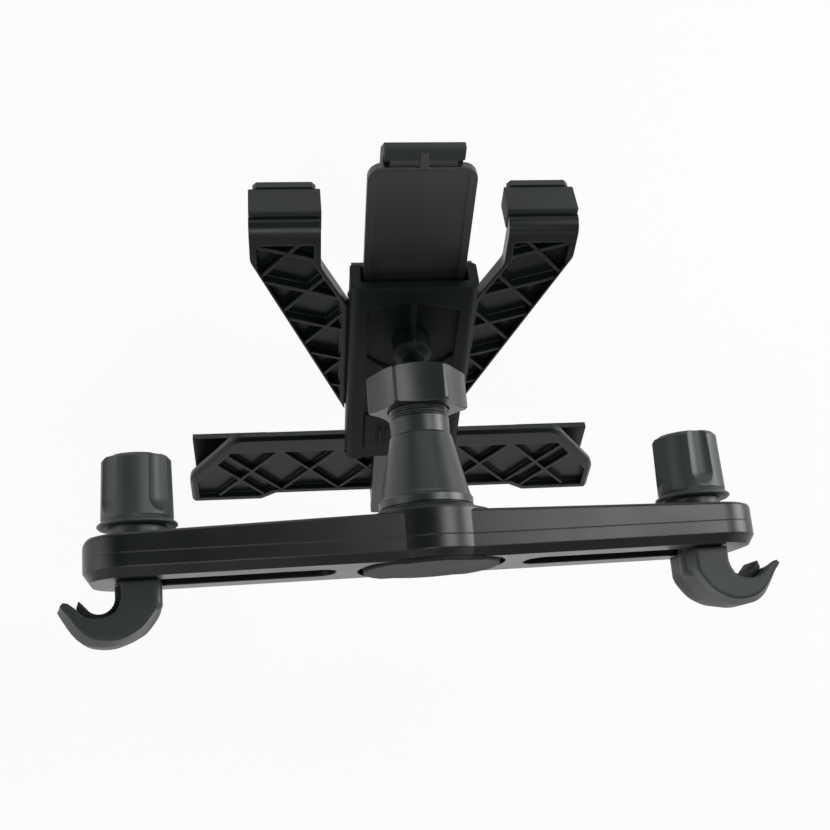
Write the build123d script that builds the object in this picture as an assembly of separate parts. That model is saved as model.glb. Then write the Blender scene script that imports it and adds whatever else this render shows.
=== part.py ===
from build123d import *
import os
from math import cos, radians, sin, sqrt, tan

# Headrest tablet mount, millimetres.
# The bar is drawn on the bench with its post upright, then stood up as it hangs
# on the headrest rods: X across the seat, Y toward the front seat, Z up.
# The holder is drawn flat (x across, y up, z toward the viewer, ball at 0,0,0)
# and then placed on the ball at the lean it has at rest.

# Bar
bar_len = 200.0
bar_deep = 35.0
bar_corner = 13.0
bar_top_hub = 7.6
bar_top_end = 5.4
bar_rear = 6.5
bevel_tall = 2.7
bevel_in = 1.8
hub_r = 20.0
hub_top = 8.0
cap_r = 20.4
groove_w = 1.8
groove_deep = 2.2
groove_half = 13.0
cap_proud = 0.8
track_z = 5.0
edge_round = 1.0

# Rod clamps
knob_x = bar_len / 2 - 15.0
knob_in = 50.0
slot_w = 6.6
guide_w = 14.0
guide_deep = 5.2
guide_gap = 0.3
tongue_len = 12.4
hook_w = 21.0
ridge_w = 9.0
pad_w = 10.0
shank_r = 6.6
shank_deep = 7.7
throat_r = 4.2
throat_out = 10.5
throat_drop = 3.95
shoulder_gap = 0.3
bolt_r = 3.0
bolt_head_r = 3.9
bolt_head_t = 3.4
washer_r = 8.3
knob_r = 10.4
knob_low = 9.4
knob_top = 30.0
flange_r = 11.5
lobes = 4
flute_r = 6.0
flute_at = 14.6
flute_floor = 17.2

# Post, ring nut and ball
flare_r = 19.6
collar_r = 14.3
collar_z = 11.0
cone_low_r = 13.6
cone_low_z = 14.5
cone_top_z = 33.0
neck_r = 9.1
cone_top_r = neck_r + 0.4
thread_low = 38.6
thread_pitch = 1.5
thread_deep = 0.7
thread_rings = 7
post_top = 50.2
cup_t = 0.6
cup_drop = 2.7
nut_low = 41.5
nut_top = 53.0
nut_crown = 55.0
nut_gap = 0.3
nut_wall = 5.9
nut_bore = neck_r + nut_gap
nut_r = nut_bore + nut_wall
nut_scallops = 6
scallop_r = 21.0
ball_z = 51.0
ball_r = 7.0
ball_gap = 0.05
stem_r = 3.6
boss_r = 6.0
boss_z = 11.6
web_half = 0.7

# Lean of the holder at rest
hold_pan = -3.0
hold_tilt = 24.3
hold_spin = -4.1

# Holder casing
case_half = 19.65
case_top = 24.85
case_low = -58.7
case_back = 16.1
case_front = 26.9
cave_half = 16.5
cave_back = 19.1
cave_front = 25.6
window_half = 14.2
window_top = 15.0
window_peak = 18.0
window_deep = 1.8
panel_deep = 0.9

# Front frame
arm_out = 49.8
arm_in = 28.4
arm_root = 19.95
arm_back = 25.5
arm_floor = 29.0
frame_front = 30.0
bend_v = 41.3
bend_r = 4.5
shelf_t = 3.0
lip_in = 40.8
lip_out = 43.2
lip_top = 43.9
lip_low = 24.6
rim_w = 1.7
rib_w = 1.0
side_rim = 2.1
cross_x = 38.3
cross_v = 30.3

# Slider
slide_half = 15.7
slide_back = 22.3
slide_front = 24.0
guide_front = 25.3
slide_top = 66.0
slide_low = -12.0
slide_rim = 0.7
claw_half = 11.0

# Foot
stem_half = 9.2
stem_back = 19.4
stem_front = 22.0
stem_top = -10.0
stem_low = -97.0
foot_half = 76.6
foot_top = -59.2
foot_low = -95.3
foot_mid = -91.9
foot_band = 7.8
foot_back = 26.8
foot_floor = 29.2
foot_claw = 48.0
foot_shelf = 3.0
foot_lip = 20.0

screw_r = 1.0


def stand(shape):
    return Pos(0, -bar_rear - cap_proud, 0) * shape.rotate(Axis((0, 0, 0), (0, 1, -1)), 180)


def on_ball(shape):
    place = Pos(0, -ball_z - bar_rear - cap_proud, 0) * Rot(0, 0, hold_pan) * Rot(hold_tilt, 0, 0)
    return place * Rot(90, 0, 0) * Rot(0, 0, hold_spin) * shape


def disc(radius, low, high, x=0.0, y=0.0):
    return Pos(x, y, low) * Cylinder(radius, high - low, align=(Align.CENTER, Align.CENTER, Align.MIN))


def block(x0, x1, y0, y1, z0, z1):
    return Pos((x0 + x1) / 2, (y0 + y1) / 2, (z0 + z1) / 2) * Box(x1 - x0, y1 - y0, z1 - z0)


def turned(points):
    face = make_face(Polyline(*[(r, 0, z) for r, z in points], close=True))
    return revolve(face, Axis.Z)


def slab(points, low, high):
    face = make_face(Polyline(*[(x, y, low) for x, y in points], close=True))
    return extrude(face, high - low, dir=(0, 0, 1))


def rounded_slab(points, turns, radius, low, high):
    # a slab whose corners at the heights in turns are rounded
    face = make_face(Polyline(*[(x, y, low) for x, y in points], close=True))
    corners = [v for v in face.vertices() if min(abs(v.Y - t) for t in turns) < 0.01]
    return extrude(fillet(corners, radius), high - low, dir=(0, 0, 1))


def across_x(points, x0, x1):
    # points are (z, y) pairs of a section that runs along x
    face = make_face(Polyline(*[(x0, y, z) for z, y in points], close=True))
    return extrude(face, x1 - x0, dir=(1, 0, 0))


def along_y(points, y0, y1):
    # points are (x, z) pairs of a section that runs along y
    face = make_face(Polyline(*[(x, y0, z) for x, z in points], close=True))
    return extrude(face, y1 - y0, dir=(0, 1, 0))


def stadium(x0, x1, width, low, high):
    mid = block(min(x0, x1), max(x0, x1), -width / 2, width / 2, low, high)
    return mid + disc(width / 2, low, high, x0) + disc(width / 2, low, high, x1)


# Bar shells
plan = RectangleRounded(bar_len, bar_deep, bar_corner)
half = bar_len / 2 + 0.6
side = [(-half, 0), (half, 0), (half, bar_top_end), (0, bar_top_hub), (-half, bar_top_end)]
side_face = make_face(Polyline(*[(x, -bar_deep, z) for x, z in side], close=True))
side_cut = extrude(side_face, 2 * bar_deep, dir=(0, 1, 0))
ends = side_cut.edges().filter_by(Axis.Y).sort_by(Axis.Z)
ends = [e for e in ends if abs(abs(e.center().X) - half) < 0.01 and e.center().Z > 1]
side_cut = fillet(ends, 4.4)
front = extrude(plan, hub_top) & side_cut
top_edges = [e for e in front.edges() if e.center().Z > 0.5 and abs(abs(e.center().Y) - bar_deep / 2) < 0.01]
top_edges = [e for e in top_edges if e.bounding_box().size.X > 20]
front = fillet(top_edges, edge_round)
front = front + disc(hub_r, 0, hub_top)
rear = extrude(plan, -bar_rear)
low_face = rear.faces().sort_by(Axis.Z)[0]
rear = chamfer(low_face.edges(), bevel_in, bevel_tall, reference=low_face)
rear_hub = disc(hub_r, -bar_rear, 0)
hub_low = rear_hub.faces().sort_by(Axis.Z)[0]
rear_hub = chamfer(hub_low.edges(), bevel_in, bevel_tall, reference=hub_low)
rear = rear + rear_hub
knob_near = knob_x - knob_in
for s in (-1, 1):
    slot = stadium(s * knob_near, s * knob_x, slot_w, -bar_rear - 1, hub_top + 1)
    front = front - slot
    rear = rear - slot
    front = front - stadium(s * knob_near, s * knob_x, 2 * washer_r + 0.8, track_z, hub_top + 1)
    g0 = knob_near - tongue_len / 2 - guide_gap
    g1 = knob_x + tongue_len / 2 + guide_gap
    guide = Pos(s * (g0 + g1) / 2, 0, -bar_rear) * RectangleRounded(g1 - g0, guide_w, 5.5)
    rear = rear - extrude(guide, guide_deep)

# Hub cap and its recess, post screw and shell screws
cap_floor = -bar_rear + 0.6
rear = rear - disc(cap_r + 0.1, -bar_rear - 1, cap_floor)
groove = disc(cap_r + groove_w, -bar_rear - 1, -bar_rear + groove_deep) - disc(cap_r + 0.1, -bar_rear - 2, 0)
rear = rear - (groove & block(-hub_r - 9, hub_r + 9, -groove_half, groove_half, -bar_rear - 2, 0))
cap_low = -bar_rear - cap_proud
cap_half = bar_deep / 2 - bevel_in - 0.2
cap_plan = disc(hub_r - bevel_in - 0.2, cap_low, cap_floor)
cap_plan = cap_plan + block(-hub_r - 9, hub_r + 9, -cap_half, cap_half, cap_low, cap_floor)
hub_cap = disc(cap_r, cap_low, cap_floor) & cap_plan
hub_cap = chamfer(hub_cap.faces().sort_by(Axis.Z)[0].edges(), 0.4)
screw_head = -3.0
post_screw = disc(2.4, screw_head, 22.0) + disc(4.6, screw_head - 2.6, screw_head)
rear = rear - disc(5.0, cap_floor - 0.1, screw_head) - disc(2.5, screw_head, 0.1)
front = front - disc(2.5, -0.1, hub_top + 1)
shell_at = 13.5
shell_screws = []
for a in (45, 135, 225, 315):
    px = shell_at * cos(radians(a))
    py = shell_at * sin(radians(a))
    rear = rear - disc(2.6, cap_floor - 0.1, -3.4, px, py) - disc(1.35, -3.4, 0.1, px, py)
    front = front - disc(1.3, -0.1, 5.2, px, py)
    shell_screws.append(disc(2.4, -5.2, -3.4, px, py) + disc(1.3, -3.4, 5.0, px, py))

# Post with skirt, collar, cone, thread and socket
flare = [(flare_r, hub_top), (flare_r, hub_top + 0.4)]
for i in range(1, 8):
    t = i / 7
    rise = (collar_z - hub_top - 0.9) * t ** 1.4
    flare.append((flare_r - (flare_r - collar_r - 0.3) * t, hub_top + 0.4 + rise))
post_line = [(0, hub_top)] + flare
post_line += [(collar_r - 0.35, collar_z - 0.5), (collar_r - 0.35, collar_z - 0.2), (collar_r, collar_z)]
post_line += [(collar_r, collar_z + 2.3), (collar_r - 0.5, collar_z + 2.9), (cone_low_r + 0.2, collar_z + 3.1)]
post_line += [(cone_low_r, cone_low_z)]
post_line += [(cone_top_r, cone_top_z), (neck_r, cone_top_z + 0.4), (neck_r, thread_low)]
for i in range(thread_rings):
    z = thread_low + i * thread_pitch
    post_line += [(neck_r - thread_deep, z + 0.5), (neck_r - thread_deep, z + 0.75)]
    post_line += [(neck_r, z + 1.2), (neck_r, z + thread_pitch)]
post_line += [(neck_r - 0.4, post_top), (0, post_top)]
cup_in = ball_r + ball_gap
cup_out = cup_in + cup_t
post = turned(post_line) - disc(2.4, hub_top - 1, 22.0) - Pos(0, 0, ball_z) * Sphere(cup_out + ball_gap)

# Ring nut: scalloped ring with a lip that holds the ball in
lip_h = 2.8
lip_r = sqrt((ball_r + 0.1) ** 2 - lip_h ** 2)
nut_line = [(nut_bore, nut_low + 0.4), (nut_bore + 0.4, nut_low), (nut_r - 0.5, nut_low), (nut_r, nut_low + 0.5)]
nut_line += [(nut_r, nut_top - 0.6), (nut_r - 0.6, nut_top), (nut_r - 2.0, nut_top + 0.4), (nut_bore - 0.4, nut_crown)]
nut_line += [(nut_bore - 1.4, nut_crown), (lip_r, ball_z + lip_h), (ball_r + 0.06, ball_z + 0.6), (nut_bore, ball_z + 0.6)]
nut = turned(nut_line)
scallop_at = nut_r * cos(radians(30)) - 1.0 + scallop_r
for i in range(nut_scallops):
    a = radians(-95.2 + i * 360 / nut_scallops)
    nut = nut - disc(scallop_r, nut_low - 1, nut_crown + 1, scallop_at * cos(a), scallop_at * sin(a))

# Ball seat: a thin cup under the ball, round inside and out so it can turn with the ball
seat = Pos(0, 0, ball_z) * Sphere(cup_out) - Pos(0, 0, ball_z) * Sphere(cup_in)
seat = seat - disc(20, ball_z - cup_drop, ball_z + 20)

# Ball stud, drawn along the holder's z, and its screw inside the casing
floor_z = case_back + window_deep
stud = Sphere(ball_r) + disc(stem_r, 0, boss_z + 0.5)
stud = stud + turned([(0, boss_z - 2.0), (stem_r, boss_z - 2.0), (boss_r, boss_z), (boss_r, floor_z), (0, floor_z)])
stud = stud + disc(3.0, floor_z - 0.1, cave_back) - disc(1.3, 8.0, cave_back + 1)
fin_line = [(floor_z - 0.1, stem_r), (floor_z - 0.1, boss_r + 0.5), (boss_z + 1.4, boss_r + 0.5)]
fin_line += [(boss_z - 0.1, boss_r + 0.2), (boss_z - 2.0, stem_r + 0.3), (boss_z - 2.0, stem_r - 1.0)]
stud = stud + across_x(fin_line, -web_half, web_half)
stud_screw = disc(4.4, cave_back, cave_back + 1.6) + disc(1.3, 9.0, cave_back + 0.1)

# Casing: a sleeve with rounded edges, open at the top
case = block(-case_half, case_half, case_low, case_top, case_back, case_front)
long_edges = case.edges().filter_by(Axis.Y)
case = fillet(long_edges.sort_by(Axis.Z)[:2], 2.6)
case = fillet(case.edges().filter_by(Axis.Y).sort_by(Axis.Z)[-2:], 1.2)
case = case - block(-cave_half, cave_half, case_low + 2.2, case_top + 1, cave_back, cave_front)
case = case - block(-stem_half - 0.3, stem_half + 0.3, case_low - 1, case_low + 3, stem_back - 0.2, stem_front + 0.2)
arch = [(-window_half, -6.0), (-window_half, window_top)]
for i in range(1, 12):
    t = -1 + i / 6
    arch.append((window_half * t, window_peak - (window_peak - window_top) * t * t))
arch += [(window_half, window_top), (window_half, -6.0)]
low_arc = []
for i in range(1, 12):
    t = 1 - i / 6
    low_arc.append((window_half * t, -6.0 - 8.0 * (1 - t * t)))
case = case - slab(arch + low_arc, case_back - 1, floor_z)
panel = block(-window_half, window_half, case_low - 1, -5.0, case_back - 1, case_back + panel_deep)
case = case - panel
web_far = boss_r + 0.6
web_line = [(floor_z + 0.2, web_far), (floor_z + 0.2, window_peak - 0.2), (case_back + 0.1, window_peak - 0.2)]
web = across_x(web_line + [(boss_z + 1.4, web_far)], -web_half, web_half)
case = case + web
for s in (-1, 1):
    x0, x1 = sorted((s * 9.6, s * 13.4))
    strip = block(x0, x1, case_low + 5.5, case_low + 23.9, case_back + 0.2, case_back + panel_deep + 0.2)
    case = case + strip
    for k in (0, 1):
        xm = s * (8.0 - 2.2 * k)
        rib_low = case_low + 6.7
        case = case + block(xm - 0.45, xm + 0.45, rib_low, rib_low + 9.0, case_back + 0.3, case_back + panel_deep + 0.2)
case = case - disc(3.05, floor_z - 0.5, cave_back + 1)

# Front frame with two lattice arms and claws
frame = block(-case_half + 0.75, case_half - 0.75, -45.0, case_top - 2.0, case_front, frame_front)
frame_screws = []
for s in (-1, 1):
    bend_low = bend_v - bend_r
    arm = [(s * arm_root, -42.0), (s * arm_out, 27.9), (s * arm_out, bend_low)]
    arm += [(s * arm_in, bend_low), (s * arm_in, 25.0), (s * arm_root, 8.4)]
    body = rounded_slab(arm, (27.9, 25.0), 6.0, arm_back, frame_front)
    pocket_top = bend_low - 2.7
    inner = [(s * (arm_root + rim_w), -36.2), (s * (arm_out - side_rim), 24.5), (s * (arm_out - side_rim), pocket_top)]
    inner += [(s * (arm_in + side_rim), pocket_top), (s * (arm_in + side_rim), 26.3), (s * (arm_root + rim_w), 9.1)]
    root_in = case_half - 1.6
    root = slab([(s * root_in, -44.0), (s * 22.4, -35.6), (s * 22.4, 11.6), (s * root_in, 6.0)], case_front, frame_front)
    bend = []
    for i in range(0, 9):
        a = radians(180 - 90 * i / 8)
        bend.append((arm_back + bend_r + bend_r * cos(a), bend_low + bend_r * sin(a)))
    bend += [(arm_back + bend_r, bend_low - 0.5), (arm_back, bend_low - 0.5)]
    x0, x1 = sorted((s * arm_in, s * arm_out))
    body = body + across_x(bend, x0, x1)
    pocket = slab(inner, arm_back - 1, arm_floor)
    ribs = None
    for k in range(8):
        v = cross_v - 13.8 * k
        rib = Pos(s * cross_x, v, (arm_back + arm_floor) / 2 + 0.3) * Rot(0, 0, s * 17.6)
        rib = rib * Box(80, rib_w, arm_floor - arm_back)
        ribs = rib if ribs is None else ribs + rib
    for k in range(6):
        v = cross_v - 22.0 * k
        rib = Pos(s * cross_x, v, (arm_back + arm_floor) / 2 + 0.3) * Rot(0, 0, -s * 47.0)
        ribs = ribs + rib * Box(140, rib_w, arm_floor - arm_back)
    body = body - (pocket - ribs)
    c0, c1 = sorted((s * (arm_in + 1.3), s * (arm_out - 1.3)))
    shelf = block(c0, c1, bend_v - shelf_t, bend_v, frame_front - 0.2, lip_out)
    lip = [(s * 29.4, 31.8), (s * 29.4, lip_top - 1.2), (s * 30.6, lip_top), (s * 47.2, lip_top)]
    lip += [(s * 48.4, lip_top - 1.2), (s * 48.4, 31.8), (s * 45.4, lip_low), (s * 32.4, lip_low)]
    frame = frame + body + root + shelf + slab(lip, lip_in, lip_out)
    for v in (10.0, -30.0):
        sx = s * 18.05
        frame = frame - disc(screw_r + 0.1, case_front - 1, frame_front + 1, sx, v)
        frame = frame - disc(1.9, frame_front - 1.0, frame_front + 1, sx, v)
        case = case - disc(screw_r, 21.0, case_front + 1, sx, v)
        frame_screws.append(disc(screw_r, 21.2, frame_front - 0.9, sx, v) + disc(1.8, frame_front - 1.0, frame_front - 0.1, sx, v))

# Rubber sleeves on the two claws
pads = []
for s in (1, -1):
    c0, c1 = sorted((s * 28.1, s * 49.7))
    h0, h1 = sorted((s * (arm_in + 1.3), s * (arm_out - 1.3)))
    pad = block(c0, c1, 36.0, 43.5, frame_front + 0.1, lip_in - 0.2)
    pad = fillet(pad.edges().filter_by(Axis.Z), 0.8)
    pads.append(pad - block(h0, h1, bend_v - shelf_t, bend_v, frame_front - 1, lip_out))

# Slider with raised rim and a claw that slopes down over the tablet's edge
r_top = 4.5
card = Pos(0, (slide_top + slide_low) / 2, 0) * Rectangle(2 * slide_half, slide_top - slide_low)
card = fillet(card.vertices().sort_by(Axis.Y)[-2:], r_top)
slider = extrude(Pos(0, 0, slide_back) * card, slide_front - slide_back)
rim_out = extrude(Pos(0, 0, slide_back - slide_rim) * card, slide_rim)
inset_top = slide_top - 1.2
inset = Pos(0, (inset_top + slide_low - 5) / 2, 0) * Rectangle(2 * slide_half - 4.8, inset_top - slide_low + 5)
inset = fillet(inset.vertices().sort_by(Axis.Y)[-2:], r_top - 2.0)
slider = slider + (rim_out - extrude(Pos(0, 0, slide_back - 1) * inset, 2))
slider = slider + block(-cave_half + 0.2, cave_half - 0.2, slide_low, 8.0, slide_back, guide_front)
core_top = slide_top + 5.6
core_foot = slide_top - 2.0
slope = tan(radians(40.0))
reach = lip_out - 1.4
fall = (reach - slide_back - 1.1) * slope
core = [(slide_back, core_foot), (slide_back, core_top), (slide_back + 1.1, core_top), (reach, core_top - fall)]
core += [(reach, core_top - fall - 4.4), (reach - 1.4, core_top - fall - 4.4), (reach - 1.4, core_top - fall - 1.6)]
core += [(slide_front, core_top - 4.6), (slide_front, core_foot)]
slider = slider + across_x(core, -claw_half + 1.4, claw_half - 1.4)
slider = slider + block(-1.3, 1.3, slide_top - 0.6, core_top - 0.3, slide_back - 1.1, slide_back + 0.1)
boot_low = slide_top + 2.7
boot_top = core_top + 1.4
boot = [(slide_back - 1.2, boot_low), (slide_back - 1.2, boot_top - 0.5), (slide_back - 0.7, boot_top)]
boot += [(slide_back + 1.5, boot_top), (lip_out, boot_top - (lip_out - slide_back - 1.5) * slope)]
boot += [(lip_out, core_top - fall - 5.8), (lip_out - 4.2, core_top - fall - 5.8), (lip_out - 4.2, core_top - fall - 2.2)]
boot += [(slide_front + 0.2, core_top - 6.4), (slide_front + 0.2, boot_low)]
slider_pad = across_x(boot, -claw_half, claw_half) - across_x(core, -claw_half + 1.4, claw_half - 1.4)
slider_pad = slider_pad - block(-1.4, 1.4, core_foot - 9.0, core_top - 0.2, slide_back - 2, slide_back + 0.1)

# Foot stem and foot bar
stem = block(-stem_half, stem_half, stem_low, stem_top, stem_back, stem_front)
stem = fillet(stem.edges().filter_by(Axis.Z), 1.2)
slant = 1.26
notch = 45.0
wing = foot_half - 17.6
knee = foot_top - slant * (foot_half - wing)
outline = [(-foot_half, knee), (-wing, foot_top), (wing, foot_top), (foot_half, knee), (foot_half, foot_low)]
outline += [(notch + 5.6, foot_low), (notch, foot_mid), (-notch, foot_mid), (-notch - 5.6, foot_low), (-foot_half, foot_low)]
foot = rounded_slab(outline, (foot_top, knee), 8.0, foot_back, frame_front)
foot_rim = [e for e in foot.edges() if abs(e.center().Z - foot_back) < 0.01 and e.center().Y > foot_mid + 1.0]
foot = chamfer(foot_rim, 1.2)
in_top = foot_top - foot_band
in_half = foot_half - 2.8
in_wing = wing + 1.6
in_knee = in_top - slant * (in_half - in_wing)
inner = [(-in_half, in_knee), (-in_wing, in_top), (in_wing, in_top), (in_half, in_knee), (in_half, foot_low + rim_w)]
inner += [(notch + 6.0, foot_low + rim_w), (notch + 0.4, foot_mid + rim_w), (-notch - 0.4, foot_mid + rim_w)]
inner += [(-notch - 6.0, foot_low + rim_w), (-in_half, foot_low + rim_w)]
pocket = slab(inner, foot_back - 1, foot_floor)
ribs = None
lattice_v = (in_top + foot_mid + rim_w) / 2
for s in (-1, 1):
    crossed = [(xm, lattice_v, am) for xm in (53.5, 32.0, 10.5) for am in (48.0, -48.0)]
    for xc, vc, a in crossed + [(57.5, lattice_v - 5.4, s * 48.0)]:
        rib = Pos(s * xc, vc, (foot_back + foot_floor) / 2 + 0.3) * Rot(0, 0, a)
        rib = rib * Box(38, rib_w, foot_floor - foot_back)
        ribs = rib if ribs is None else ribs + rib
foot = foot - (pocket - ribs)
foot = foot + block(-stem_half, stem_half, foot_mid, in_top + 0.6, stem_front, foot_floor + 0.2)
for s in (-1, 1):
    x0, x1 = sorted((s * foot_claw, s * (foot_half - 1.2)))
    foot = foot + block(x0, x1, foot_low, foot_low + foot_shelf, frame_front - 0.2, lip_out)
    foot = foot + block(x0, x1, foot_low, foot_low + foot_lip, lip_in, lip_out)
foot_screws = []
for v in (in_top - 5.0, foot_mid + 5.0):
    foot = foot - disc(1.4, stem_front - 0.1, frame_front - 1.0, 0, v)
    stem = stem - disc(1.5, stem_back - 1, stem_front + 1, 0, v) - disc(2.9, stem_back - 1, stem_back + 1.5, 0, v)
    foot_screws.append(disc(1.4, stem_back + 1.4, frame_front - 1.2, 0, v) + disc(2.8, stem_back + 0.1, stem_back + 1.5, 0, v))

# Rod clamp: hook, its rubber pad, bolt, washer and knob, drawn at +x and mirrored for the other arm
# Hook outlines are (distance out from the bolt, height below the shoulder)
shoulder = -bar_rear - shoulder_gap
face_line = [(-5.8, 0), (-5.8, 6.2), (-5.0, 8.3), (-3.5, 10.5), (-1.5, 12.8), (1.0, 14.4), (3.7, 15.6), (6.5, 16.0)]
face_line += [(9.5, 15.7), (12.5, 14.7), (14.7, 13.0), (16.7, 10.8), (18.3, 8.5), (19.9, 6.8), (20.4, 5.9)]
face_line += [(19.6, 5.1), (18.3, 5.4)]
ridge_line = [(-6.0, 0), (-6.0, 5.2), (-4.8, 7.4), (-3.2, 10.0), (-0.6, 13.2), (2.3, 15.4), (5.3, 16.8), (8.4, 17.3)]
ridge_line += [(11.5, 17.1), (14.4, 16.3), (17.0, 14.4), (19.2, 11.5), (21.0, 8.6), (21.9, 7.1), (21.4, 6.2)]
ridge_line += [(19.4, 6.1), (17.8, 6.6)]
mouth_line = [(16.4, 6.9), (15.3, 8.1), (13.6, 9.4), (11.4, 9.9), (9.2, 9.8), (7.4, 9.3), (5.7, 8.3), (4.7, 6.4)]
mouth_line += [(4.2, 4.7), (4.2, 0)]


def hook_section(outer, y):
    # the back of the hook is one smooth curve, the tip and the mouth are straight runs
    at = [(knob_x + out, y, shoulder - down) for out, down in outer + mouth_line]
    back = Spline(*at[1:14])
    rest = Polyline(*(at[13:] + at[:2]))
    return make_face(back.edges() + rest.edges())


hook = extrude(hook_section(ridge_line, -ridge_w / 2), ridge_w, dir=(0, 1, 0))
for s in (-1, 1):
    hook = hook + loft([hook_section(ridge_line, s * ridge_w / 2), hook_section(face_line, s * hook_w / 2)], ruled=True)
shank = fillet(disc(shank_r, shoulder - shank_deep, shoulder, knob_x).edges().sort_by(Axis.Z)[0], 1.6)
throat_x = knob_x + throat_out
throat_z = shoulder - throat_drop
mouth_cut = along_y([(knob_x + out, shoulder - down) for out, down in mouth_line] + [(knob_x + 16.4, shoulder)], -40, 40)
hook = hook + (shank - mouth_cut)
pad_line = [(out, down) for out, down in mouth_line[:-1]] + [(4.2, 0.6), (throat_out - throat_r, 0.6)]
pad_line += [(throat_out - throat_r, throat_drop), (throat_out, throat_drop)]
lead = radians(50)
pad_line += [(throat_out + throat_r * cos(lead), throat_drop + throat_r * sin(lead)), (16.8, 4.2)]
hook_pad = along_y([(knob_x + out, shoulder - down) for out, down in pad_line], -pad_w / 2, pad_w / 2)
hook_pad = hook_pad - Pos(throat_x, pad_w, throat_z) * Rot(90, 0, 0) * disc(throat_r, 0, 2 * pad_w)
tongue = Pos(knob_x, 0, shoulder - 0.2) * RectangleRounded(tongue_len, guide_w - 2 * guide_gap, 5.2)
hook = hook + extrude(tongue, guide_deep - 0.2)
head_low = shoulder - 7.4
hook = hook - disc(bolt_r, head_low, 0, knob_x) - disc(bolt_head_r, head_low, head_low + bolt_head_t, knob_x)
bolt = disc(bolt_r, head_low, 24.0, knob_x) + disc(bolt_head_r, head_low, head_low + bolt_head_t, knob_x)
washer = disc(washer_r, track_z, knob_low, knob_x) - disc(bolt_r + 0.3, 0, 20, knob_x)
knob_line = [(0, knob_low), (flange_r - 0.6, knob_low), (flange_r, knob_low + 0.5), (flange_r, knob_low + 0.9)]
knob_line += [(flange_r - 0.5, knob_low + 1.4), (knob_r - 0.1, knob_low + 1.6), (knob_r - 0.3, knob_low + 2.1)]
knob_line += [(knob_r, knob_low + 2.6), (knob_r - 0.4, knob_top - 1.0), (knob_r - 1.2, knob_top), (0, knob_top)]
knob_body = turned(knob_line) - disc(bolt_r + 0.05, knob_low - 1, 24.6)
flute_line = [(0, flute_floor - flute_r)]
for i in range(1, 13):
    a = radians(90 * i / 12)
    flute_line.append((flute_r * sin(a), flute_floor - flute_r * cos(a)))
flute_line += [(flute_r, knob_top + 1), (0, knob_top + 1)]
flute = Pos(flute_at, 0, 0) * turned(flute_line)
for i in range(lobes):
    knob_body = knob_body - Rot(0, 0, -90 + 180 / lobes + i * 360 / lobes) * flute
knob_turn = {1: -42.8, -1: -3.7}
clamps = {}
for s in (1, -1):
    knob = Pos(s * knob_x, 0, 0) * Rot(0, 0, knob_turn[s]) * knob_body
    clamps[s] = {"hook": hook, "hook_pad": hook_pad, "bolt": bolt, "washer": washer}
    if s < 0:
        clamps[s] = {name: shape.mirror(Plane.YZ) for name, shape in clamps[s].items()}
    clamps[s]["knob"] = knob

nodes = {
    "bar_front_shell": stand(front),
    "bar_rear_shell": stand(rear),
    "hub_cap": stand(hub_cap),
    "post": stand(post),
    "post_screw": stand(post_screw),
    "shell_screws": stand(Compound(shell_screws)),
    "ring_nut": stand(nut),
    "ball_seat": stand(seat),
    "ball_stud": on_ball(stud),
    "stud_screw": on_ball(stud_screw),
    "casing": on_ball(case),
    "front_frame": on_ball(frame),
    "frame_screws": on_ball(Compound(frame_screws)),
    "claw_pad_right": on_ball(pads[0]),
    "claw_pad_left": on_ball(pads[1]),
    "slider": on_ball(slider),
    "slider_pad": on_ball(slider_pad),
    "foot_stem": on_ball(stem),
    "foot_bar": on_ball(foot),
    "foot_screws": on_ball(Compound(foot_screws)),
}
side_name = {1: "left", -1: "right"}
for s in (1, -1):
    for name, shape in clamps[s].items():
        nodes[name + "_" + side_name[s]] = stand(shape)

os.makedirs("parts", exist_ok=True)
for name, shape in nodes.items():
    export_step(shape, "parts/" + name + ".step")
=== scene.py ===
from math import atan2, pi, radians

import bmesh
import bpy
from mathutils import Matrix, Vector


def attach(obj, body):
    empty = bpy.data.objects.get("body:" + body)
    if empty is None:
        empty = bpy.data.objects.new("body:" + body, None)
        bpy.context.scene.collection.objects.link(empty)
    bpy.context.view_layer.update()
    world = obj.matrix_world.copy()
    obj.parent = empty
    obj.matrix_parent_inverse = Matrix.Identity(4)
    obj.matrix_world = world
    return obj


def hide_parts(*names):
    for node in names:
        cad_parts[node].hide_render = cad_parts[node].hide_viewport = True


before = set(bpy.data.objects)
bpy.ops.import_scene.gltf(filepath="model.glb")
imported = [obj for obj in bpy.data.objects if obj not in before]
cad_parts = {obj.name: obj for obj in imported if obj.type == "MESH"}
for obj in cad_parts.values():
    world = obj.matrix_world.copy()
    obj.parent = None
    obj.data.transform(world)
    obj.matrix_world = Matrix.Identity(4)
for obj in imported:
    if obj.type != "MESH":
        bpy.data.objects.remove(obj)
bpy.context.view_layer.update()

MM = 0.001

# The holder's pieces are modelled flat (x across, y up, z toward the tablet) and then set on the ball
BALL = Vector((0.0, -58.3, 0.0)) * MM
HOLDER_PAN, HOLDER_TILT, HOLDER_SPIN = radians(-3.0), radians(24.3), radians(-4.1)
HOLDER_PLACE = (Matrix.Translation(BALL) @ Matrix.Rotation(HOLDER_PAN, 4, "Z")
                @ Matrix.Rotation(HOLDER_TILT, 4, "X") @ Matrix.Rotation(pi / 2, 4, "X")
                @ Matrix.Rotation(HOLDER_SPIN, 4, "Z"))

# Claw sleeve, right arm, in the holder's flat frame (mm), with the cuts between its grip ribs
SLEEVE_LOW = Vector((28.1, 36.0, 30.1))
SLEEVE_HIGH = Vector((49.7, 43.5, 40.6))
SLEEVE_WALL, SLEEVE_ROUND = 1.55, 0.3
TUNNEL_LOW_Y, TUNNEL_HIGH_Y = 38.25, 41.35
GRIP_CUTS, GRIP_START, GRIP_PITCH, GRIP_DEEP = 8, 1.3, 1.13, 0.5

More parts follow.
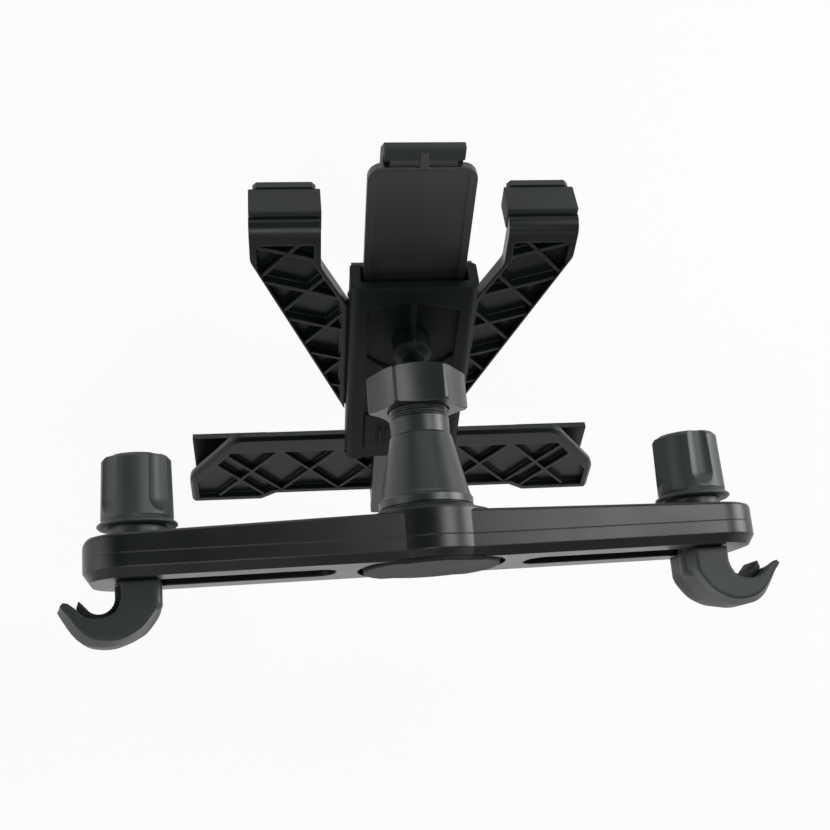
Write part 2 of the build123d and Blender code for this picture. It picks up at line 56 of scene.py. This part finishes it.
# Boot and the claw inside it: z, lowest y, highest y, half width (mm); then the claw's tab
BOOT_STATIONS = [(21.1, 68.7, 72.5, 11.2), (21.6, 68.7, 73.0, 11.4), (23.8, 68.7, 73.0, 11.4),
                 (24.2, 68.7, 72.66, 11.4), (24.2, 65.2, 72.66, 11.4), (39.0, 53.96, 60.24, 10.45),
                 (39.0, 50.36, 60.24, 10.45), (43.2, 50.36, 56.72, 10.2)]
CLAW_STATIONS = [(22.25, 63.0, 71.65, 9.63), (23.4, 63.0, 71.65, 9.63), (24.03, 63.0, 71.12, 9.63),
                 (24.03, 66.98, 71.12, 9.63), (40.37, 54.56, 57.4, 9.63), (40.37, 51.7, 57.4, 9.63),
                 (41.85, 51.7, 56.2, 9.63)]
BOOT_ROUND = 0.2
TAB_LOW = Vector((-1.4, 60.0, 20.3))
TAB_HIGH = Vector((1.4, 71.4, 22.4))

# Hook pad, right hook (mm): its block, the rod's throat and the hook's mouth round it
PAD_HALF, PAD_ROUND = 5.0, 0.45
PAD_LOW = Vector((89.2, 0.1, -PAD_HALF))
PAD_HIGH = Vector((101.9, 9.5, PAD_HALF))
THROAT = Vector((95.5, 3.45, 0.0))
THROAT_R = 4.2
MOUTH = [(101.1, 3.4), (101.4, 6.37), (100.27, 7.56), (98.58, 8.86), (96.39, 9.36), (94.21, 9.26),
         (92.42, 8.76), (90.74, 7.77), (89.74, 5.88), (89.24, 4.19), (89.24, 0.1)]

# The rod's way into the pad (mm): cutters that reach past its sides, a straight entry, a ramp, and the ribs
CUT_HALF = 9.0
ENTRY_FAR_X, ENTRY_LOW_Y = 104.0, -1.0
RAMP_ANGLE, RAMP_LEN = radians(43), 12.0
RIBS, RIB_DEEP = 36, 0.12

# Edges sharper than ROUND_FROM are rounded, and the shading is smooth over edges up to SMOOTH_TO
ROUND_FROM, ROUND_STEPS = radians(34), 3
SMOOTH_TO, RIB_SMOOTH_TO = radians(38), radians(24)

# Mesh limits: points this near are joined, cuts are this exact, a face this near a side lies in it (mm),
# and a face looks along an axis when that part of its normal is larger than SQUARE_ON
JOIN_UNDER, CUT_EXACT, NEAR = 0.005, 0.001, 0.1
SQUARE_ON = 0.9

# Pattern sizes of the materials (mm); the real grain of about 0.1 mm is drawn larger so that it shows
FLOW_MM, GRAIN_MM = 26, 0.8
DUST_MM, PEBBLE_MM, PEBBLE_DEEP_MM = 7, 0.9, 0.08
PLATING_MM, WAX_MM = 2.5, 4
FLOW_LOW, FLOW_HIGH = 0.3, 0.7
BUMP_STRENGTH, EDGE_SAMPLES = 0.3, 6
PLASTIC_IOR, RUBBER_IOR = 1.53, 1.5
RUBBER_ROUGH, NYLON_ROUGH = 0.7, 0.38
STEEL_ROUGH_LOW, STEEL_ROUGH_HIGH = 0.28, 0.5

# Camera, at the photograph's viewing angle: place (m), directions, lens and sensor (mm)
CAMERA_PLACE = Vector((0.06523, 0.04553, 0.34156))
CAMERA_RIGHT = Vector((-0.98340, 0.08065, 0.16255))
CAMERA_UP = Vector((-0.03440, -0.96243, 0.26939))
LENS, SENSOR = 50.675, 36.0
CLIP_START = 0.01

# Studio (m): the floor and its glow, and the white wall's upper edge as the height of a direction
FLOOR_SIZE, FLOOR_Z, FLOOR_GLOW = 40.0, -0.17, 0.9
WALL_FADE_LOW, WALL_FADE_HIGH = 0.36, 0.44
WALL_LEVEL, SKY_LEVEL = 0.9, 0.05

# Soft boxes, all turned to one point: name, place, width, height (m), power (W)
LAMP_AIM = Vector((0, -0.03, 0))
SOFT_BOXES = [("right_softbox", (-0.92, -0.20, 0.36), 0.35, 0.5, 5.0),
              ("high_right_softbox", (-0.44, -0.16, 0.88), 0.36, 0.36, 3.2),
              ("left_softbox", (0.88, 0.05, 0.35), 0.2, 0.7, 2.6),
              ("top_softbox", (0.0, -0.90, 0.60), 0.8, 0.5, 2.8),
              ("front_softbox", (0.12, 0.55, 0.86), 0.25, 0.16, 3.0)]


# Modelling helpers

def clear_selection():
    if bpy.context.object and bpy.context.object.mode != "OBJECT":
        bpy.ops.object.mode_set(mode="OBJECT")
    bpy.ops.object.select_all(action="DESELECT")


def focus(piece):
    clear_selection()
    piece.select_set(True)
    bpy.context.view_layer.objects.active = piece


def edit(piece):
    """Edit mode with every face selected."""
    focus(piece)
    bpy.ops.object.mode_set(mode="EDIT")
    bpy.ops.mesh.select_mode(type="FACE")
    bpy.ops.mesh.select_all(action="SELECT")


def pick(piece, test):
    """In edit mode, selects only the faces whose centre (mm) and normal pass the test."""
    bpy.ops.mesh.select_all(action="DESELECT")
    mesh = bmesh.from_edit_mesh(piece.data)
    mesh.normal_update()
    for face in mesh.faces:
        face.select_set(bool(test(face.calc_center_median() / MM, face.normal)))
    bmesh.update_edit_mesh(piece.data)


def face_outward(piece):
    edit(piece)
    bpy.ops.mesh.normals_make_consistent(inside=False)
    bpy.ops.object.mode_set(mode="OBJECT")


def clean_mesh(piece):
    """Joins doubled points, takes out faces with no area and points every face outward."""
    edit(piece)
    bpy.ops.mesh.remove_doubles(threshold=JOIN_UNDER * MM)
    bpy.ops.mesh.dissolve_degenerate(threshold=JOIN_UNDER * MM)
    face_outward(piece)


def block(name, low, high):
    """A box primitive at its size and place, ready to be shaped in edit mode."""
    clear_selection()
    bpy.ops.mesh.primitive_cube_add(size=1.0, location=(low + high) / 2 * MM, scale=(high - low) * MM)
    piece = bpy.context.object
    piece.name = name
    bpy.ops.object.transform_apply(location=True, rotation=True, scale=True)
    return piece


def run_of_stations(name, stations):
    """A block drawn out from one plane, station by station, along z."""
    z, low, high, half = stations[0]
    clear_selection()
    bpy.ops.mesh.primitive_plane_add(size=1.0, location=Vector((0, (low + high) / 2, z)) * MM)
    piece = bpy.context.object
    piece.name = name
    piece.scale = (2 * half * MM, (high - low) * MM, 1.0)
    bpy.ops.object.transform_apply(location=True, rotation=True, scale=True)
    edit(piece)
    for next_z, next_low, next_high, next_half in stations[1:]:
        step = Vector((0, (next_low + next_high - low - high) / 2, next_z - z)) * MM
        bpy.ops.mesh.extrude_region_move(TRANSFORM_OT_translate={"value": step})
        middle = Vector((0, (next_low + next_high) / 2, next_z)) * MM
        grow = (next_half / half, (next_high - next_low) / (high - low), 1)
        bpy.ops.transform.resize(value=grow, center_override=middle)
        z, low, high, half = next_z, next_low, next_high, next_half
    clean_mesh(piece)
    return piece


def apply_modifier(piece, kind, **settings):
    focus(piece)
    modifier = piece.modifiers.new(kind.lower(), kind)
    for key, value in settings.items():
        setattr(modifier, key, value)
    bpy.ops.object.modifier_apply(modifier=modifier.name)


def cut_away(piece, cutter):
    apply_modifier(piece, "BOOLEAN", operation="DIFFERENCE", object=cutter, solver="EXACT")
    bpy.data.objects.remove(cutter)


def smooth(piece, angle):
    focus(piece)
    bpy.ops.object.shade_smooth_by_angle(angle=angle)


def soften(piece, width_mm):
    """Rounds the sharp edges and shades the rounding smooth."""
    apply_modifier(piece, "BEVEL", width=width_mm * MM, segments=ROUND_STEPS, limit_method="ANGLE",
                   angle_limit=ROUND_FROM)
    clean_mesh(piece)
    smooth(piece, SMOOTH_TO)


def set_in_place(piece, place):
    focus(piece)
    piece.matrix_world = place
    bpy.ops.object.transform_apply(location=True, rotation=True, scale=True)


def mirrored(piece, name):
    """A copy with its own mesh, mirrored across x = 0."""
    focus(piece)
    bpy.ops.object.duplicate()
    twin = bpy.context.object
    twin.name = name
    twin.scale.x = -1.0
    bpy.ops.object.transform_apply(location=True, rotation=True, scale=True)
    face_outward(twin)
    return twin


def in_groove(centre, normal):
    """True for the faces under the sleeve in every second strip between the cuts."""
    strip = int((centre.z - SLEEVE_LOW.z - GRIP_START + GRIP_PITCH) / GRIP_PITCH)
    return normal.y < -SQUARE_ON and centre.y < SLEEVE_LOW.y + NEAR and strip % 2 == 1


def fit_rubber(piece, body, node):
    """Gives a rubber piece its material and lets it ride on a body in place of a node."""
    piece.data.materials.clear()
    piece.data.materials.append(sleeve_rubber)
    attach(piece, body)
    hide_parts(node)


# Shader node helpers

def linear(colour):
    """An sRGB hex colour as linear red, green, blue and alpha."""
    parts = [int(colour[i:i + 2], 16) / 255 for i in (1, 3, 5)]
    return (*[c / 12.92 if c <= 0.04045 else ((c + 0.055) / 1.055) ** 2.4 for c in parts], 1.0)


def add(tree, kind, inputs=None, **settings):
    """Adds one node; an input is a value, or a socket to link from."""
    node = tree.nodes.new(kind)
    for key, value in settings.items():
        setattr(node, key, value)
    for key, value in (inputs or {}).items():
        if isinstance(value, bpy.types.NodeSocket):
            tree.links.new(value, node.inputs[key])
        else:
            node.inputs[key].default_value = value
    return node


def object_place(tree):
    return add(tree, "ShaderNodeTexCoord").outputs["Object"]


def noise(tree, size_mm, detail, roughness=0.5):
    """Cloudy noise in the object's own coordinates."""
    return add(tree, "ShaderNodeTexNoise", {"Vector": object_place(tree), "Scale": 1 / (size_mm * MM),
                                            "Detail": detail, "Roughness": roughness}).outputs["Fac"]


def blend(tree, share, dark, pale):
    """A colour that runs from dark to pale with the share."""
    colours = {0: share, 6: linear(dark), 7: linear(pale)}
    return add(tree, "ShaderNodeMix", colours, data_type="RGBA").outputs[2]


def spread(tree, value, low, high, from_low=0.0, from_high=1.0):
    """The value carried over from one range to the range from low to high."""
    return add(tree, "ShaderNodeMapRange", {"Value": value, "From Min": from_low, "From Max": from_high,
                                            "To Min": low, "To Max": high}).outputs["Result"]


def larger(tree, first, second):
    return add(tree, "ShaderNodeMath", {0: first, 1: second}, operation="MAXIMUM").outputs[0]


def product(tree, first, second):
    return add(tree, "ShaderNodeMath", {0: first, 1: second}, operation="MULTIPLY").outputs[0]


def seen_rays(tree):
    """One for rays from the camera and from mirrors and glass, nought for the rest."""
    path = add(tree, "ShaderNodeLightPath").outputs
    seen = larger(tree, path["Is Camera Ray"], path["Is Glossy Ray"])
    return larger(tree, seen, path["Is Transmission Ray"])


def start_material(name):
    material = bpy.data.materials.new(name)
    material.use_nodes = True
    material.node_tree.nodes.clear()
    return material, material.node_tree


def end_material(tree, inputs):
    shader = add(tree, "ShaderNodeBsdfPrincipled", inputs)
    add(tree, "ShaderNodeOutputMaterial", {"Surface": shader.outputs["BSDF"]})


# Materials

def moulded_abs(name, colours, rough, shine, edge_mm, grain_deep_mm):
    # ABS out of a spark-eroded mould: an even satin sheen, faint flow marks, rounded edges that catch light
    material, tree = start_material(name)
    flow = noise(tree, FLOW_MM, detail=4.0, roughness=0.6)
    grain = noise(tree, GRAIN_MM, detail=2.0)
    edge = add(tree, "ShaderNodeBevel", {"Radius": edge_mm * MM}, samples=EDGE_SAMPLES)
    bump = add(tree, "ShaderNodeBump", {"Height": grain, "Strength": BUMP_STRENGTH,
                                        "Distance": grain_deep_mm * MM, "Normal": edge.outputs["Normal"]})
    end_material(tree, {"Base Color": blend(tree, flow, *colours),
                        "Roughness": spread(tree, flow, *rough, FLOW_LOW, FLOW_HIGH),
                        "IOR": PLASTIC_IOR, "Specular IOR Level": shine, "Normal": bump.outputs["Normal"]})
    return material


def moulded_rubber(name, colours):
    # Thermoplastic rubber: matt, a little dusty, with a fine pebbled skin
    material, tree = start_material(name)
    dust = noise(tree, DUST_MM, detail=5.0, roughness=0.65)
    pebble = add(tree, "ShaderNodeTexVoronoi", {"Vector": object_place(tree), "Scale": 1 / (PEBBLE_MM * MM)})
    bump = add(tree, "ShaderNodeBump", {"Height": pebble.outputs["Distance"], "Strength": BUMP_STRENGTH,
                                        "Distance": PEBBLE_DEEP_MM * MM})
    end_material(tree, {"Base Color": blend(tree, dust, *colours), "Roughness": RUBBER_ROUGH,
                        "IOR": RUBBER_IOR, "Normal": bump.outputs["Normal"]})
    return material


def zinc_steel(name, colours):
    # Zinc plated steel: pale grey metal with cloudy, slightly uneven plating
    material, tree = start_material(name)
    cloud = noise(tree, PLATING_MM, detail=4.0)
    end_material(tree, {"Base Color": blend(tree, cloud, *colours), "Metallic": 1.0,
                        "Roughness": spread(tree, cloud, STEEL_ROUGH_LOW, STEEL_ROUGH_HIGH)})
    return material


def plain_nylon(name, colours):
    # Uncoloured nylon: milky off-white with a waxy sheen
    material, tree = start_material(name)
    cloud = noise(tree, WAX_MM, detail=3.0)
    end_material(tree, {"Base Color": blend(tree, cloud, *colours), "Roughness": NYLON_ROUGH,
                        "IOR": PLASTIC_IOR})
    return material


# Studio helper

def soft_box(name, place, width, height, power):
    lamp = bpy.data.lights.new(name, "AREA")
    lamp.shape = "RECTANGLE"
    lamp.size = width
    lamp.size_y = height
    lamp.energy = power
    lamp_object = bpy.data.objects.new(name, lamp)
    bpy.context.scene.collection.objects.link(lamp_object)
    turn = (LAMP_AIM - Vector(place)).to_track_quat("-Z", "Y")
    lamp_object.matrix_world = Matrix.Translation(place) @ turn.to_matrix().to_4x4()


# The plastics: dark and pale colour, roughness from and to, shine, rounded edge (mm), grain depth (mm)
bar_abs = moulded_abs("bar_moulded_abs", ("#080c0c", "#0e1313"), (0.30, 0.38), 0.40, 0.45, 0.02)
post_abs = moulded_abs("post_moulded_abs", ("#171c1c", "#1e2424"), (0.34, 0.42), 0.60, 0.45, 0.02)
hook_abs = moulded_abs("hook_moulded_abs", ("#1d2222", "#242a2a"), (0.44, 0.54), 0.36, 1.6, 0.02)
nut_abs = moulded_abs("nut_satin_abs", ("#161b1b", "#1d2323"), (0.34, 0.42), 0.60, 0.45, 0.01)
# The knob plastic is drawn lighter than the other black plastics: partly its own tone, partly painted sheen
# standing in for the reflections the knobs show
knob_abs_with_painted_sheen = moulded_abs("knob_satin_abs", ("#222828", "#2a3030"), (0.42, 0.50), 0.48, 0.45, 0.01)
slider_abs = moulded_abs("slider_moulded_abs", ("#101314", "#161a1b"), (0.34, 0.44), 0.68, 0.45, 0.02)
cap_abs = moulded_abs("cap_grained_abs", ("#0f1212", "#151919"), (0.58, 0.66), 0.20, 0.45, 0.03)
case_abs = moulded_abs("casing_grained_abs", ("#080d0e", "#0e1415"), (0.46, 0.56), 0.12, 0.9, 0.03)
frame_abs = moulded_abs("frame_moulded_abs", ("#0a0f10", "#101617"), (0.30, 0.40), 0.30, 0.6, 0.02)
sleeve_rubber = moulded_rubber("sleeve_rubber", ("#121717", "#191f1f"))
screw_steel = zinc_steel("zinc_plated_steel", ("#8f9396", "#c4c6c6"))
cup_nylon = plain_nylon("cup_nylon", ("#cfccc2", "#dedbd2"))

finishes = {
    bar_abs: ("bar_front_shell", "bar_rear_shell"),
    post_abs: ("post",),
    cap_abs: ("hub_cap",),
    hook_abs: ("hook_left", "hook_right"),
    nut_abs: ("ring_nut",),
    knob_abs_with_painted_sheen: ("knob_left", "knob_right", "washer_left", "washer_right"),
    slider_abs: ("slider", "foot_stem"),
    # The ball stud takes the casing's dark, matt plastic, darker than the post: partly its own colour,
    # partly painted shade for the shadow it sits in
    case_abs: ("casing", "ball_stud"),
    frame_abs: ("front_frame", "foot_bar"),
    screw_steel: ("post_screw", "shell_screws", "stud_screw", "frame_screws", "foot_screws",
                  "bolt_left", "bolt_right"),
    cup_nylon: ("ball_seat",),
}
for material, names in finishes.items():
    for name in names:
        for material_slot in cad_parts[name].material_slots:
            material_slot.material = material

# Rubber sleeves on the two claws: a block with a tunnel for the claw's shelf and grip ribs underneath
sleeve = block("claw_sleeve_right", SLEEVE_LOW, SLEEVE_HIGH)
sleeve_mid = (SLEEVE_LOW + SLEEVE_HIGH) / 2
inner_tall = SLEEVE_HIGH.y - SLEEVE_LOW.y - 2 * SLEEVE_WALL
tunnel_tall = TUNNEL_HIGH_Y - TUNNEL_LOW_Y
tunnel_rise = (TUNNEL_LOW_Y + TUNNEL_HIGH_Y) / 2 - sleeve_mid.y
edit(sleeve)
pick(sleeve, lambda centre, normal: abs(normal.z) > SQUARE_ON)
bpy.ops.mesh.inset(thickness=SLEEVE_WALL * MM)
bpy.ops.transform.resize(value=(1, tunnel_tall / inner_tall, 1), center_override=sleeve_mid * MM)
bpy.ops.transform.translate(value=(0, tunnel_rise * MM, 0))
bpy.ops.mesh.bridge_edge_loops()
for i in range(GRIP_CUTS):
    cut_z = SLEEVE_LOW.z + GRIP_START + GRIP_PITCH * i
    bpy.ops.mesh.select_all(action="SELECT")
    bpy.ops.mesh.bisect(plane_co=(0, 0, cut_z * MM), plane_no=(0, 0, 1))
pick(sleeve, in_groove)
bpy.ops.mesh.extrude_region_move(TRANSFORM_OT_translate={"value": (0, GRIP_DEEP * MM, 0)})
bpy.ops.object.mode_set(mode="OBJECT")
soften(sleeve, SLEEVE_ROUND)
sleeve_twin = mirrored(sleeve, "claw_sleeve_left")
for piece, side in ((sleeve, "right"), (sleeve_twin, "left")):
    set_in_place(piece, HOLDER_PLACE)
    fit_rubber(piece, "holder", "claw_pad_" + side)

# Rubber boot over the slider's claw, hollow for the claw and notched for its tab
boot = run_of_stations("claw_boot", BOOT_STATIONS)
soften(boot, BOOT_ROUND)
cut_away(boot, run_of_stations("claw_inside", CLAW_STATIONS))
cut_away(boot, block("tab_inside", TAB_LOW, TAB_HIGH))
clean_mesh(boot)
smooth(boot, SMOOTH_TO)
set_in_place(boot, HOLDER_PLACE)
fit_rubber(boot, "top_slider", "slider_pad")

# Rubber pads in the hooks' throats: a block trimmed to the hook's mouth
pad = block("hook_pad_ribbed_right", PAD_LOW, PAD_HIGH)
edit(pad)
for (x0, y0), (x1, y1) in zip(MOUTH, MOUTH[1:]):
    corner = Vector((x0, y0, 0))
    outward = Vector((y0 - y1, x1 - x0, 0))
    if outward.dot(corner - THROAT) < 0:
        outward.negate()
    bpy.ops.mesh.select_all(action="SELECT")
    bpy.ops.mesh.bisect(plane_co=corner * MM, plane_no=outward, use_fill=True, clear_outer=True,
                        threshold=CUT_EXACT * MM)
bpy.ops.object.mode_set(mode="OBJECT")

# The pad is opened for the rod, by a straight entry and a ramp
throat_side = THROAT.x - THROAT_R
entry_low = Vector((throat_side, ENTRY_LOW_Y, -CUT_HALF))
cut_away(pad, block("rod_entry", entry_low, Vector((ENTRY_FAR_X, THROAT.y, CUT_HALF))))
ramp_low = Vector((throat_side, THROAT.y - RAMP_LEN, -CUT_HALF))
ramp = block("rod_ramp", ramp_low, THROAT + Vector((THROAT_R, 0, CUT_HALF)))
set_in_place(ramp, Matrix.Translation(THROAT * MM) @ Matrix.Rotation(RAMP_ANGLE, 4, "Z")
             @ Matrix.Translation(-THROAT * MM))
cut_away(pad, ramp)
soften(pad, PAD_ROUND)

# A fluted rod, with every second line of corners pushed out, leaves fine ribs in the throat
clear_selection()
bpy.ops.mesh.primitive_cylinder_add(vertices=2 * RIBS, radius=THROAT_R * MM, depth=3 * PAD_HALF * MM,
                                    location=THROAT * MM)
rod = bpy.context.object
bpy.ops.object.transform_apply(location=True, rotation=True, scale=True)
edit(rod)
bpy.ops.mesh.select_mode(type="VERT")
bpy.ops.mesh.select_all(action="DESELECT")
rod_mesh = bmesh.from_edit_mesh(rod.data)
for vertex in rod_mesh.verts:
    turn = atan2(vertex.co.y - THROAT.y * MM, vertex.co.x - THROAT.x * MM) / (pi / RIBS)
    vertex.select_set(round(turn) % 2 == 0)
bmesh.update_edit_mesh(rod.data)
widen = 1 + RIB_DEEP / THROAT_R
bpy.ops.transform.resize(value=(widen, widen, 1), center_override=THROAT * MM)
bpy.ops.object.mode_set(mode="OBJECT")
cut_away(pad, rod)
clean_mesh(pad)

# Triangles set here come out the same on the mirrored pad
edit(pad)
bpy.ops.mesh.quads_convert_to_tris(quad_method="FIXED", ngon_method="CLIP")
bpy.ops.object.mode_set(mode="OBJECT")
smooth(pad, RIB_SMOOTH_TO)
pad_twin = mirrored(pad, "hook_pad_ribbed_left")
for piece, side in ((pad, "right"), (pad_twin, "left")):
    fit_rubber(piece, "hook_body_" + side, "hook_pad_" + side)

# Camera
camera = bpy.data.cameras.new("camera")
camera.sensor_width = SENSOR
camera.lens = LENS
camera.clip_start = CLIP_START
camera_object = bpy.data.objects.new("camera", camera)
bpy.context.scene.collection.objects.link(camera_object)
camera_back = CAMERA_RIGHT.cross(CAMERA_UP).normalized()
camera_turn = Matrix((CAMERA_RIGHT, CAMERA_UP, camera_back)).transposed().to_4x4()
camera_object.matrix_world = Matrix.Translation(CAMERA_PLACE) @ camera_turn
bpy.context.scene.camera = camera_object

# White paper floor that still takes a soft shadow
clear_selection()
bpy.ops.mesh.primitive_plane_add(size=FLOOR_SIZE, location=(0, 0, FLOOR_Z))
floor = bpy.context.object
floor.name = "floor"
paper, tree = start_material("white_paper_floor")
sheet = add(tree, "ShaderNodeBsdfDiffuse", {"Color": linear("#ededed")})
glow = add(tree, "ShaderNodeEmission", {"Color": linear("#ffffff"), "Strength": 1.0})
mixed = add(tree, "ShaderNodeMixShader", {0: product(tree, seen_rays(tree), FLOOR_GLOW),
                                          1: sheet.outputs[0], 2: glow.outputs[0]})
add(tree, "ShaderNodeOutputMaterial", {"Surface": mixed.outputs[0]})
floor.data.materials.append(paper)

# Dim studio world, with a low white wall round the horizon for the camera and for mirrors
world = bpy.data.worlds.new("studio")
bpy.context.scene.world = world
world.use_nodes = True
tree = world.node_tree
tree.nodes.clear()
way = add(tree, "ShaderNodeSeparateXYZ", {0: add(tree, "ShaderNodeTexCoord").outputs["Generated"]})
wall = spread(tree, way.outputs["Z"], 1.0, 0.0, WALL_FADE_LOW, WALL_FADE_HIGH)
level = spread(tree, product(tree, seen_rays(tree), wall), SKY_LEVEL, WALL_LEVEL)
sky = add(tree, "ShaderNodeBackground", {"Color": linear("#ffffff"), "Strength": level})
add(tree, "ShaderNodeOutputWorld", {"Surface": sky.outputs[0]})

for lamp_row in SOFT_BOXES:
    soft_box(*lamp_row)

bpy.context.scene.view_settings.view_transform = "Standard"
